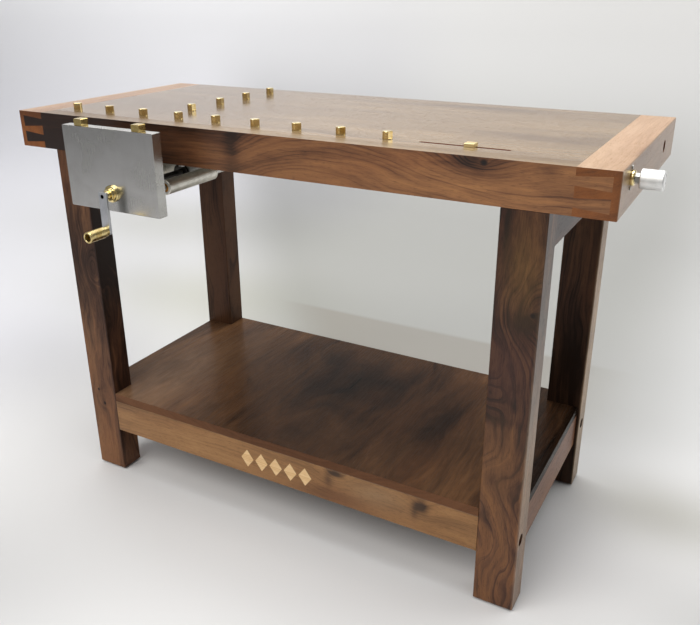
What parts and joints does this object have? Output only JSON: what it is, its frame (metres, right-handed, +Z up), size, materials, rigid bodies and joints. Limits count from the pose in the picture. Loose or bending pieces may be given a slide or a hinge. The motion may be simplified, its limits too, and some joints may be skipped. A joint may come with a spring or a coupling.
{
  "type": "woodworking bench with vises",
  "caption": "Hardwood workbench with a dovetailed front apron, a lower shelf, a metal front vise with a crank, an in-line tail vise and rows of sliding brass bench dogs.",
  "frame": {"origin": "on the floor, under the middle of the whole bench with its vises", "axes": "+X to the right along the bench, +Y from the front apron to the back, +Z up"},
  "size_m": [1.392, 0.7336, 0.9295],
  "materials": {
    "top_wood": "oiled walnut, satin",
    "apron_wood": "oiled figured walnut, satin",
    "cap_wood": "oiled light walnut, satin",
    "leg_wood": "oiled walnut, satin",
    "rail_wood": "oiled walnut, satin",
    "shelf_wood": "oiled dark walnut, satin",
    "inlay_maple": "maple inlay, satin",
    "zinc_steel": "zinc plated",
    "jaw_aluminium": "ground, satin",
    "bracket_aluminium": "sawn and sanded",
    "tube_steel": "ground tube",
    "rod_steel": "ground bar",
    "dark_steel": "oiled dark steel",
    "bronze": "turned bronze",
    "brass": "turned, polished",
    "crank_aluminium": "sanded",
    "knob_aluminium": "turned, satin",
    "glide_plastic": "nylon glide"
  },
  "bodies": {
    "bench": {"top_slab": "top_wood", "front_apron": "apron_wood", "end_cap_left": "cap_wood", "end_cap_right": "cap_wood", "leg_front_left": "leg_wood", "leg_front_right": "leg_wood", "leg_back_left": "leg_wood", "leg_back_right": "leg_wood", "top_rail_left": "rail_wood", "top_rail_right": "rail_wood", "side_rail_left": "rail_wood", "side_rail_right": "rail_wood", "front_rail": "rail_wood", "back_rail": "rail_wood", "rail_inlay": "inlay_maple", "shelf": "shelf_wood", "frame_bolts": "zinc_steel", "barrel_nuts": "zinc_steel", "coach_screws": "zinc_steel", "foot_glides": "glide_plastic", "vise_mount_plate": "bracket_aluminium", "vise_carrier": "bracket_aluminium", "vise_nut": "dark_steel", "guide_tubes": "tube_steel", "guide_bushes": "bronze", "tail_guide_tube": "tube_steel", "tail_flange": "brass", "tail_far_bearing": "bronze", "tail_lock_screws": "zinc_steel"},
    "jaw": {"jaw_plate": "jaw_aluminium", "guide_rods": "rod_steel", "screw_flange": "brass"},
    "crank": {"lead_screw": "dark_steel", "thrust_collar": "dark_steel", "spindle_sleeve": "brass", "crank_arm": "crank_aluminium", "crank_screw": "dark_steel", "grip_pin": "rod_steel"},
    "grip": {"crank_grip": "brass"},
    "jaw_dog_left": {"vise_dog_left": "brass"},
    "jaw_dog_right": {"vise_dog_right": "brass"},
    "tail_spindle": {"tail_screw": "rod_steel", "tail_lock_nut": "zinc_steel", "tail_knob": "knob_aluminium"},
    "tail_carriage": {"tail_nut": "brass", "tail_dog": "brass"},
    "dog_1_body": {"dog_1": "brass"},
    "dog_2_body": {"dog_2": "brass"},
    "dog_3_body": {"dog_3": "brass"},
    "dog_4_body": {"dog_4": "brass"},
    "dog_5_body": {"dog_5": "brass"},
    "dog_6_body": {"dog_6": "brass"},
    "dog_7_body": {"dog_7": "brass"},
    "dog_8_body": {"dog_8": "brass"},
    "dog_9_body": {"dog_9": "brass"},
    "cross_dog_1_body": {"cross_dog_1": "brass"},
    "cross_dog_2_body": {"cross_dog_2": "brass"},
    "cross_dog_3_body": {"cross_dog_3": "brass"},
    "cross_dog_4_body": {"cross_dog_4": "brass"}
  },
  "joints": [
    {"name": "jaw_slide", "type": "slide", "parent": "bench", "child": "jaw", "axis": [0, 1, 0], "range_m": [-0.0961, 0.0621]},
    {"name": "crank_turn", "type": "hinge", "parent": "jaw", "child": "crank", "pos_m": [-0.341, -0.2857, 0.782], "axis": [0, 1, 0], "range_deg": [-4320, 2790]},
    {"name": "grip_spin", "type": "hinge", "parent": "crank", "child": "grip", "pos_m": [-0.341, -0.315, 0.709], "axis": [0, 1, 0], "continuous": true},
    {"name": "jaw_dog_left_lift", "type": "slide", "parent": "jaw", "child": "jaw_dog_left", "axis": [0, 0, 1], "range_m": [0, 0.04]},
    {"name": "jaw_dog_right_lift", "type": "slide", "parent": "jaw", "child": "jaw_dog_right", "axis": [0, 0, 1], "range_m": [0, 0.04]},
    {"name": "knob_turn", "type": "hinge", "parent": "bench", "child": "tail_spindle", "pos_m": [0.644, -0.1237, 0.89], "axis": [1, 0, 0], "range_deg": [-6334, 4174]},
    {"name": "carriage_slide", "type": "slide", "parent": "bench", "child": "tail_carriage", "axis": [1, 0, 0], "range_m": [-0.088, 0.058]},
    {"name": "dog_1_lift", "type": "slide", "parent": "bench", "child": "dog_1_body", "axis": [0, 0, 1], "range_m": [-0.013, 0.055]},
    {"name": "dog_2_lift", "type": "slide", "parent": "bench", "child": "dog_2_body", "axis": [0, 0, 1], "range_m": [-0.013, 0.055]},
    {"name": "dog_3_lift", "type": "slide", "parent": "bench", "child": "dog_3_body", "axis": [0, 0, 1], "range_m": [-0.013, 0.055]},
    {"name": "dog_4_lift", "type": "slide", "parent": "bench", "child": "dog_4_body", "axis": [0, 0, 1], "range_m": [-0.013, 0.055]},
    {"name": "dog_5_lift", "type": "slide", "parent": "bench", "child": "dog_5_body", "axis": [0, 0, 1], "range_m": [-0.013, 0.055]},
    {"name": "dog_6_lift", "type": "slide", "parent": "bench", "child": "dog_6_body", "axis": [0, 0, 1], "range_m": [-0.013, 0.055]},
    {"name": "dog_7_lift", "type": "slide", "parent": "bench", "child": "dog_7_body", "axis": [0, 0, 1], "range_m": [-0.013, 0.055]},
    {"name": "dog_8_lift", "type": "slide", "parent": "bench", "child": "dog_8_body", "axis": [0, 0, 1], "range_m": [-0.013, 0.055]},
    {"name": "dog_9_lift", "type": "slide", "parent": "bench", "child": "dog_9_body", "axis": [0, 0, 1], "range_m": [-0.013, 0.055]},
    {"name": "cross_dog_1_lift", "type": "slide", "parent": "bench", "child": "cross_dog_1_body", "axis": [0, 0, 1], "range_m": [-0.013, 0.055]},
    {"name": "cross_dog_2_lift", "type": "slide", "parent": "bench", "child": "cross_dog_2_body", "axis": [0, 0, 1], "range_m": [-0.013, 0.055]},
    {"name": "cross_dog_3_lift", "type": "slide", "parent": "bench", "child": "cross_dog_3_body", "axis": [0, 0, 1], "range_m": [-0.013, 0.055]},
    {"name": "cross_dog_4_lift", "type": "slide", "parent": "bench", "child": "cross_dog_4_body", "axis": [0, 0, 1], "range_m": [-0.013, 0.055]}
  ],
  "couplings": [
    {"joint": "jaw_slide", "follows": "crank_turn", "m_per_rad": 0.0012732},
    {"joint": "carriage_slide", "follows": "knob_turn", "m_per_rad": 0.00079577}
  ]
}
